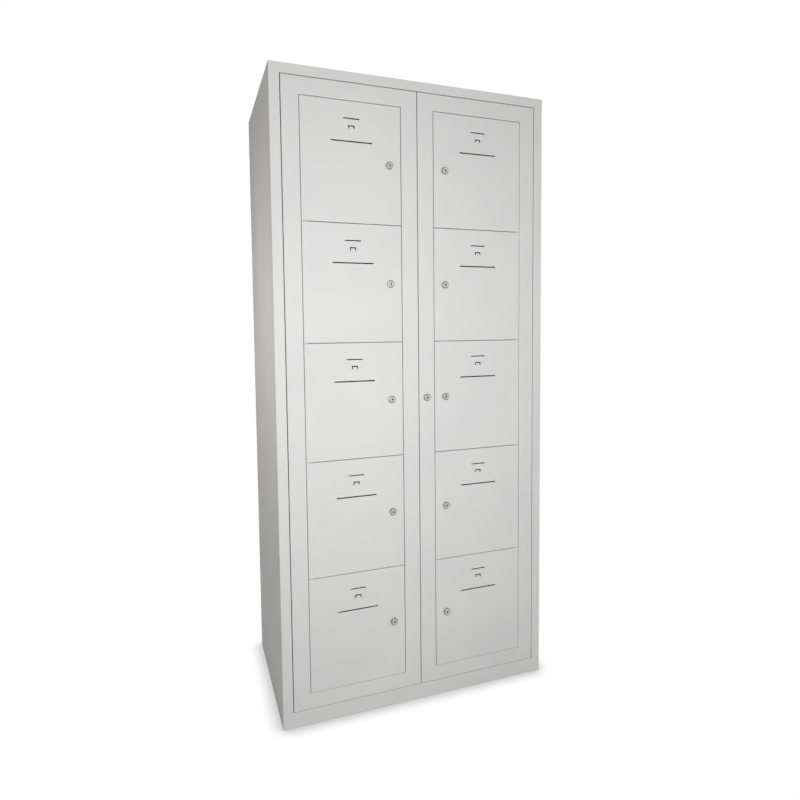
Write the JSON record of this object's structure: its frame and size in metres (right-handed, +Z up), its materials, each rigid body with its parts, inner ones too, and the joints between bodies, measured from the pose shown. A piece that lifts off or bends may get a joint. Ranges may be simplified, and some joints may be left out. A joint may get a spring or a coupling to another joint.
{
  "type": "distribution locker cabinet",
  "caption": "Upright steel locker cabinet with lockable compartment doors set in two hinged master doors that open whole columns for filling.",
  "frame": {"origin": "on the floor under the middle of the cabinet's shell", "axes": "+Z up, the doors face -Y, +X to the right for someone facing the doors"},
  "size_m": [0.845, 0.508, 1.85],
  "materials": {
    "shell_paint": "light grey powder coat, fine orange peel",
    "door_paint": "light grey powder coat, fine orange peel",
    "lock_nickel": "satin nickel plate",
    "zinc_steel": "zinc plated"
  },
  "bodies": {
    "cabinet": {"side_panel_left": "shell_paint", "side_panel_right": "shell_paint", "top_panel": "shell_paint", "base_panel": "shell_paint", "back_panel": "shell_paint", "centre_partition": "shell_paint", "front_uprights": "shell_paint", "side_flanges": "shell_paint", "master_hinges": "zinc_steel", "shelf_left_1": "shell_paint", "shelf_left_2": "shell_paint", "shelf_left_3": "shell_paint", "shelf_left_4": "shell_paint", "shelf_right_1": "shell_paint", "shelf_right_2": "shell_paint", "shelf_right_3": "shell_paint", "shelf_right_4": "shell_paint"},
    "master_left": {"master_door_left": "door_paint", "stop_bars_left": "shell_paint", "hinge_lugs_left": "shell_paint", "hinge_pins_left": "zinc_steel", "bolt_guides": "zinc_steel"},
    "door_left_1": {"door_left_1": "door_paint", "lock_left_1": "lock_nickel"},
    "cam_left_1": {"cam_left_1": "zinc_steel"},
    "door_left_2": {"door_left_2": "door_paint", "lock_left_2": "lock_nickel"},
    "cam_left_2": {"cam_left_2": "zinc_steel"},
    "door_left_3": {"door_left_3": "door_paint", "lock_left_3": "lock_nickel"},
    "cam_left_3": {"cam_left_3": "zinc_steel"},
    "door_left_4": {"door_left_4": "door_paint", "lock_left_4": "lock_nickel"},
    "cam_left_4": {"cam_left_4": "zinc_steel"},
    "door_left_5": {"door_left_5": "door_paint", "lock_left_5": "lock_nickel"},
    "cam_left_5": {"cam_left_5": "zinc_steel"},
    "master_right": {"master_door_right": "door_paint", "stop_bars_right": "shell_paint", "hinge_lugs_right": "shell_paint", "hinge_pins_right": "zinc_steel", "master_lock": "lock_nickel"},
    "door_right_1": {"door_right_1": "door_paint", "lock_right_1": "lock_nickel"},
    "cam_right_1": {"cam_right_1": "zinc_steel"},
    "door_right_2": {"door_right_2": "door_paint", "lock_right_2": "lock_nickel"},
    "cam_right_2": {"cam_right_2": "zinc_steel"},
    "door_right_3": {"door_right_3": "door_paint", "lock_right_3": "lock_nickel"},
    "cam_right_3": {"cam_right_3": "zinc_steel"},
    "door_right_4": {"door_right_4": "door_paint", "lock_right_4": "lock_nickel"},
    "cam_right_4": {"cam_right_4": "zinc_steel"},
    "door_right_5": {"door_right_5": "door_paint", "lock_right_5": "lock_nickel"},
    "cam_right_5": {"cam_right_5": "zinc_steel"},
    "master_cam": {"master_cam": "zinc_steel"},
    "bolt_upper": {"slide_bolt_upper": "zinc_steel"},
    "bolt_lower": {"slide_bolt_lower": "zinc_steel"}
  },
  "joints": [
    {"name": "master_left_hinge", "type": "hinge", "parent": "cabinet", "child": "master_left", "pos_m": [-0.3825, -0.244, 0.9338], "axis": [0, 0, -1], "range_deg": [0, 110]},
    {"name": "door_left_1_hinge", "type": "hinge", "parent": "master_left", "child": "door_left_1", "pos_m": [-0.3338, -0.246, 1.60377], "axis": [0, 0, -1], "range_deg": [0, 110]},
    {"name": "cam_left_1_turn", "type": "hinge", "parent": "door_left_1", "child": "cam_left_1", "pos_m": [-0.0866, -0.25, 1.60377], "axis": [0, -1, 0], "range_deg": [0, 90]},
    {"name": "door_left_2_hinge", "type": "hinge", "parent": "master_left", "child": "door_left_2", "pos_m": [-0.3338, -0.246, 1.26791], "axis": [0, 0, -1], "range_deg": [0, 110]},
    {"name": "cam_left_2_turn", "type": "hinge", "parent": "door_left_2", "child": "cam_left_2", "pos_m": [-0.0866, -0.25, 1.26791], "axis": [0, -1, 0], "range_deg": [0, 90]},
    {"name": "door_left_3_hinge", "type": "hinge", "parent": "master_left", "child": "door_left_3", "pos_m": [-0.3338, -0.246, 0.93205], "axis": [0, 0, -1], "range_deg": [0, 110]},
    {"name": "cam_left_3_turn", "type": "hinge", "parent": "door_left_3", "child": "cam_left_3", "pos_m": [-0.0866, -0.25, 0.93205], "axis": [0, -1, 0], "range_deg": [0, 90]},
    {"name": "door_left_4_hinge", "type": "hinge", "parent": "master_left", "child": "door_left_4", "pos_m": [-0.3338, -0.246, 0.59619], "axis": [0, 0, -1], "range_deg": [0, 110]},
    {"name": "cam_left_4_turn", "type": "hinge", "parent": "door_left_4", "child": "cam_left_4", "pos_m": [-0.0866, -0.25, 0.59619], "axis": [0, -1, 0], "range_deg": [0, 90]},
    {"name": "door_left_5_hinge", "type": "hinge", "parent": "master_left", "child": "door_left_5", "pos_m": [-0.3338, -0.246, 0.26033], "axis": [0, 0, -1], "range_deg": [0, 110]},
    {"name": "cam_left_5_turn", "type": "hinge", "parent": "door_left_5", "child": "cam_left_5", "pos_m": [-0.0866, -0.25, 0.26033], "axis": [0, -1, 0], "range_deg": [0, 90]},
    {"name": "master_right_hinge", "type": "hinge", "parent": "cabinet", "child": "master_right", "pos_m": [0.3825, -0.244, 0.9338], "axis": [0, 0, 1], "range_deg": [0, 110]},
    {"name": "door_right_1_hinge", "type": "hinge", "parent": "master_right", "child": "door_right_1", "pos_m": [0.3338, -0.246, 1.60377], "axis": [0, 0, 1], "range_deg": [0, 110]},
    {"name": "cam_right_1_turn", "type": "hinge", "parent": "door_right_1", "child": "cam_right_1", "pos_m": [0.0866, -0.25, 1.60377], "axis": [0, 1, 0], "range_deg": [0, 90]},
    {"name": "door_right_2_hinge", "type": "hinge", "parent": "master_right", "child": "door_right_2", "pos_m": [0.3338, -0.246, 1.26791], "axis": [0, 0, 1], "range_deg": [0, 110]},
    {"name": "cam_right_2_turn", "type": "hinge", "parent": "door_right_2", "child": "cam_right_2", "pos_m": [0.0866, -0.25, 1.26791], "axis": [0, 1, 0], "range_deg": [0, 90]},
    {"name": "door_right_3_hinge", "type": "hinge", "parent": "master_right", "child": "door_right_3", "pos_m": [0.3338, -0.246, 0.93205], "axis": [0, 0, 1], "range_deg": [0, 110]},
    {"name": "cam_right_3_turn", "type": "hinge", "parent": "door_right_3", "child": "cam_right_3", "pos_m": [0.0866, -0.25, 0.93205], "axis": [0, 1, 0], "range_deg": [0, 90]},
    {"name": "door_right_4_hinge", "type": "hinge", "parent": "master_right", "child": "door_right_4", "pos_m": [0.3338, -0.246, 0.59619], "axis": [0, 0, 1], "range_deg": [0, 110]},
    {"name": "cam_right_4_turn", "type": "hinge", "parent": "door_right_4", "child": "cam_right_4", "pos_m": [0.0866, -0.25, 0.59619], "axis": [0, 1, 0], "range_deg": [0, 90]},
    {"name": "door_right_5_hinge", "type": "hinge", "parent": "master_right", "child": "door_right_5", "pos_m": [0.3338, -0.246, 0.26033], "axis": [0, 0, 1], "range_deg": [0, 110]},
    {"name": "cam_right_5_turn", "type": "hinge", "parent": "door_right_5", "child": "cam_right_5", "pos_m": [0.0866, -0.25, 0.26033], "axis": [0, 1, 0], "range_deg": [0, 90]},
    {"name": "master_cam_turn", "type": "hinge", "parent": "master_right", "child": "master_cam", "pos_m": [0.0255, -0.25, 0.93205], "axis": [0, 1, 0], "range_deg": [0, 90]},
    {"name": "bolt_upper_slide", "type": "slide", "parent": "master_left", "child": "bolt_upper", "axis": [0, 0, 1], "range_m": [0, 0.015]},
    {"name": "bolt_lower_slide", "type": "slide", "parent": "master_left", "child": "bolt_lower", "axis": [0, 0, -1], "range_m": [0, 0.015]}
  ]
}
